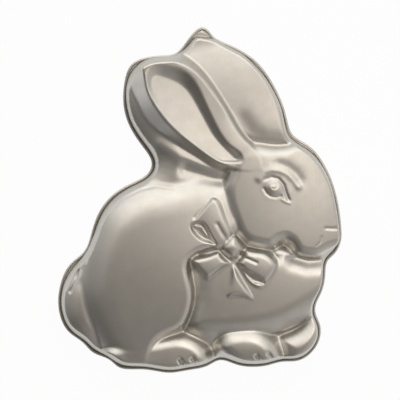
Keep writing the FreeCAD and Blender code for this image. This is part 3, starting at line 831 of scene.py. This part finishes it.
def aluminium(name, look, rub):
    """Satin rolled aluminium, with the waves of pressing, a fine grain, rub where it is handled, and painted
    shade on its steep faces.
    """
    material = bpy.data.materials.new(name)
    nodes = Nodes(material)
    place = nodes.make("ShaderNodeTexCoord", leaving="Object")
    waves = nodes.noise(place, WAVES)
    along = nodes.make("ShaderNodeVectorMath", {"operation": "MULTIPLY"}, {0: place, 1: GRAIN_STRETCH})
    grain = nodes.noise(along, GRAIN)
    cloud = nodes.noise(place, CLOUDS)
    colour = nodes.blend_colours(
        cloud.ease(*NOISE_RANGE) * CLOUD_SHARE + grain.ease(*NOISE_RANGE) * GRAIN_SHARE,
        (*look.colour, 1), (*(channel * DARKEST_SHARE for channel in look.colour), 1))
    # Painted shade: steep faces, such as the side wall, blend towards a darker colour the less their normal
    # rises
    facing = nodes.make("ShaderNodeTexCoord", leaving="Normal")
    upright = nodes.make("ShaderNodeSeparateXYZ", None, {0: facing}, leaving="Z")
    painted_wall_shade = 1.0 - (upright * upright).ease(*WALL_SHADE_RANGE)
    colour = nodes.blend_colours(painted_wall_shade, colour, (*look.wall_painted_shade, 1))
    cloud_swing, grain_swing = cloud - NOISE_MIDDLE, grain - NOISE_MIDDLE
    rough = look.roughness + rub + cloud_swing * CLOUD_ROUGHNESS + grain_swing * GRAIN_ROUGHNESS
    relief_height = (waves - NOISE_MIDDLE) * look.waviness + grain_swing * look.grain
    bump = nodes.make("ShaderNodeBump", None, {"Strength": 1.0, "Distance": 1.0, "Height": relief_height})
    shader = nodes.make(
        "ShaderNodeBsdfPrincipled", None,
        {"Base Color": colour, "Metallic": 1.0, "Roughness": rough, "Normal": bump})
    nodes.make("ShaderNodeOutputMaterial", None, {"Surface": shader})
    return material


def add_piece(name, vertices, faces, node_names, material):
    """Adds a closed piece of the pan from its points and faces."""
    mesh = bpy.data.meshes.new(name)
    mesh.from_pydata([tuple(v) for v in vertices], [], [tuple(int(i) for i in f) for f in faces])
    mesh.validate()
    piece = bpy.data.objects.new(name, mesh)
    bpy.context.collection.objects.link(piece)
    settle(piece, node_names, material)


def settle(piece, node_names, material):
    """Makes a piece smooth, and gives it its metal and its place in the frame."""
    piece.data.polygons.foreach_set("use_smooth", [True] * len(piece.data.polygons))
    piece.data.materials.append(material)
    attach(piece, "root")
    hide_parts(*node_names)


def pick_nothing():
    """Clears the selection, so that the next operator works on its own object alone."""
    bpy.ops.object.select_all(action="DESELECT")


class PAN_OT_press_sheet(Operator):
    """Presses the pan's one sheet: the rabbit's relief, the side wall and the flange"""

    bl_idname = "pan.press_sheet"
    bl_label = "Press Sheet"

    def execute(self, context):
        sizes, rim = context.scene.rabbit_sheet, context.scene.rabbit_rim
        field = relief()
        wall = evenly(outline_on_pan(WALL_PX, 0), sizes.ring_spacing)
        edge = sheet_edge(sizes, rim)
        coarse = sizes.underside_share
        top, top_faces = blank_face(edge, wall, 0.0, sizes.ring_step, sizes.blank_step, sizes.fine_step)
        under, under_faces = blank_face(
            edge, wall, sizes.gauge, sizes.ring_step * coarse, sizes.blank_step * coarse,
            sizes.fine_step * coarse)
        top_z = sheet_height(top, field, wall, 0.0, sizes)
        under_z = sheet_height(under, field.one_gauge_below(sizes.gauge), wall, sizes.gauge, sizes)
        vertices = np.vstack([np.column_stack([top, top_z]), np.column_stack([under, under_z])])
        count, first = len(edge), len(top)
        strip = [(i, first + i, first + (i + 1) % count, (i + 1) % count) for i in range(count)]
        faces = list(top_faces) + list(first + under_faces[:, ::-1]) + strip
        names = [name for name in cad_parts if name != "rolled_rim"]
        metal = aluminium("pan_sheet_aluminium", context.scene.rabbit_aluminium, 0.0)
        add_piece("pan_sheet", vertices, faces, names, metal)
        return {"FINISHED"}


# A curve's round bevel has this many quarters, each with one face more than its resolution
BEVEL_QUARTERS = 4


class PAN_OT_roll_rim(Operator):
    """Rolls the flange's edge into a bead"""

    bl_idname = "pan.roll_rim"
    bl_label = "Roll Rim"

    def execute(self, context):
        sizes, rim = context.scene.rabbit_sheet, context.scene.rabbit_rim
        line = sheet_edge(sizes, rim)
        pick_nothing()
        bpy.ops.curve.primitive_bezier_circle_add()
        bead = context.active_object
        bead.name = bead.data.name = "rolled_rim_bead"
        bead.data.splines.clear()
        spline = bead.data.splines.new("POLY")
        spline.points.add(len(line) - 1)
        for point, (x, y) in zip(spline.points, line):
            point.co = (x, y, rim.bead_radius, 1)
        spline.use_cyclic_u = True
        bead.data.bevel_depth = rim.bead_radius
        bead.data.bevel_resolution = rim.sides // BEVEL_QUARTERS - 1
        bpy.ops.object.convert(target="MESH")
        settle(bead, ["rolled_rim"],
               aluminium("rolled_edge_aluminium", context.scene.rabbit_aluminium, RIM_RUB))
        return {"FINISHED"}


# The sky's lights and darks: each one's direction, in degrees from +X and above the floor, how far round that
# it reaches in degrees, and how much light it adds to the sky's even level
SkyPatch = namedtuple("SkyPatch", "turn rise reach level")
SKY_LEVEL = 0.46
SKY_PATCHES = [
    SkyPatch(92, 40, 54, 1.12),
    SkyPatch(218, 4, 70, -0.42),
    SkyPatch(0, 90, 45, -0.42),
    SkyPatch(10, 20, 60, 0.12),
]

# The rise over which the sky turns from its cool to its warm colour
SKY_WARM_RANGE = (0.55, 0.95)
SKY_COOL_COLOUR = (1.0, 0.98, 0.92, 1)
SKY_WARM_COLOUR = (1.0, 0.92, 0.82, 1)

# The lamp over the head, and the floor
LAMP_PLACE = (0.20, 0.07, 0.55)
LAMP_SIZE = 0.30
FLOOR_WIDTH = 6.0
WHITE = (1, 1, 1, 1)

# The camera: its sensor's width in millimetres, how wide the floor in the picture is, and how far it sees as
# a share of its distance
CAMERA_WIDTH = 36.0
PIXELS_PER_MM, MM_PER_METRE = 0.974, 1000
FRAME_WIDTH = IMAGE_SIZE / PIXELS_PER_MM / MM_PER_METRE
SIGHT_SHARE = 2


class PAN_OT_set_stage(Operator):
    """Sets the floor, the light and the camera"""

    bl_idname = "pan.set_stage"
    bl_label = "Set Stage"

    def execute(self, context):
        studio = context.scene.rabbit_studio
        pick_nothing()
        bpy.ops.mesh.primitive_plane_add(size=FLOOR_WIDTH)
        floor = context.active_object
        floor.name = floor.data.name = "studio_floor"
        floor.data.materials.append(floor_material(studio))
        world = bpy.data.worlds.new("studio_sky")
        context.scene.world = world
        paint_sky(world, studio)
        hang_lamp(studio)
        place_camera(context.scene, studio)
        context.scene.view_settings.view_transform = "Standard"
        return {"FINISHED"}


def seen_share(nodes):
    """1 for what the camera sees, straight, in a shine or through glass."""
    camera, gloss, glass = nodes.make(
        "ShaderNodeLightPath", leaving=("Is Camera Ray", "Is Glossy Ray", "Is Transmission Ray"))
    return camera.most(gloss).most(glass)


def floor_material(studio):
    """A pale floor that keeps the pan's shadow."""
    material = bpy.data.materials.new("studio_floor_white")
    nodes = Nodes(material)
    matt = nodes.make("ShaderNodeBsdfDiffuse", None, {"Color": (*studio.floor_colour, 1)})
    white = nodes.make("ShaderNodeEmission", None, {"Color": WHITE, "Strength": 1.0})
    share = seen_share(nodes) * studio.floor_white
    mix = nodes.make("ShaderNodeMixShader", None, {0: share, 1: matt, 2: white})
    nodes.make("ShaderNodeOutputMaterial", None, {"Surface": mix})
    return material


def paint_sky(world, studio):
    """A sky of soft lights and darks, by direction."""
    nodes = Nodes(world)
    way = nodes.make("ShaderNodeTexCoord", leaving="Generated")
    x, y, z = nodes.make("ShaderNodeSeparateXYZ", None, {0: way}, leaving=("X", "Y", "Z"))
    level = SKY_LEVEL
    for patch in SKY_PATCHES:
        turn, rise = math.radians(patch.turn), math.radians(patch.rise)
        across, along = math.cos(turn) * math.cos(rise), math.sin(turn) * math.cos(rise)
        facing = x * across + y * along + z * math.sin(rise)
        level = level + facing.ease(math.cos(math.radians(patch.reach)), 1.0) * patch.level
    colour = nodes.blend_colours(z.ease(*SKY_WARM_RANGE), SKY_COOL_COLOUR, SKY_WARM_COLOUR)
    strength = level.most(0.0) * studio.sky_level
    shade = nodes.make("ShaderNodeBackground", None, {"Color": colour, "Strength": strength})
    nodes.make("ShaderNodeOutputWorld", None, {"Surface": shade})


def hang_lamp(studio):
    """A soft lamp over the rabbit's head, so that the light falls off over the pan."""
    bpy.ops.object.light_add(type="AREA", location=LAMP_PLACE)
    lamp = bpy.context.active_object
    lamp.name = lamp.data.name = "studio_lamp"
    lamp.data.shape = "DISK"
    lamp.data.size = LAMP_SIZE
    lamp.data.color = SKY_WARM_COLOUR[:3]
    lamp.data.energy = studio.lamp_power
    lamp.visible_camera = False


def place_camera(scene, studio):
    """A far camera that leans as the photograph's does."""
    camera = bpy.data.objects.new("camera", bpy.data.cameras.new("camera"))
    scene.collection.objects.link(camera)
    scene.camera = camera
    lean = Vector((-LEAN_ACROSS, LEAN_ALONG, 1))
    below_middle = (RIM_TOP_PX + RIM_BOTTOM_PX) / 2 - IMAGE_SIZE / 2
    target = (CAD_LOW + CAD_HIGH) / 2
    target.z = 0.0
    target += Vector((0.0, below_middle, 0.0)) * (FRAME_WIDTH / IMAGE_SIZE)
    camera.location = target + lean * studio.camera_distance
    distance = (lean * studio.camera_distance).length
    across = Vector((0, 1, 0)).cross(lean).normalized()
    turn = Matrix((across, lean.cross(across).normalized(), lean.normalized())).transposed()
    camera.rotation_euler = turn.to_euler()
    camera.data.sensor_width = CAMERA_WIDTH
    camera.data.lens = CAMERA_WIDTH * distance / FRAME_WIDTH
    camera.data.clip_end = SIGHT_SHARE * distance


class PAN_PT_rabbit(Panel):
    """The rabbit cake pan"""

    bl_label = "Rabbit Cake Pan"
    bl_space_type = "VIEW_3D"
    bl_region_type = "UI"
    bl_category = "Cake Pan"

    def draw(self, context):
        for operator in OPERATORS:
            self.layout.operator(operator.bl_idname)
        for name, group in SETTINGS.items():
            box = self.layout.box()
            box.label(text=group.__doc__.rstrip("."))
            for setting in group.__annotations__:
                box.prop(getattr(context.scene, name), setting)


OPERATORS = [PAN_OT_press_sheet, PAN_OT_roll_rim, PAN_OT_set_stage]
CLASSES = [*SETTINGS.values(), *OPERATORS, PAN_PT_rabbit]


def register():
    for each in CLASSES:
        bpy.utils.register_class(each)
    for name, group in SETTINGS.items():
        setattr(bpy.types.Scene, name, PointerProperty(type=group))


def unregister():
    for name in SETTINGS:
        delattr(bpy.types.Scene, name)
    for each in reversed(CLASSES):
        bpy.utils.unregister_class(each)


def main():
    """Builds the stage and the pan."""
    register()
    bpy.ops.pan.set_stage()
    bpy.ops.pan.press_sheet()
    bpy.ops.pan.roll_rim()


if __name__ == "__main__":
    main()
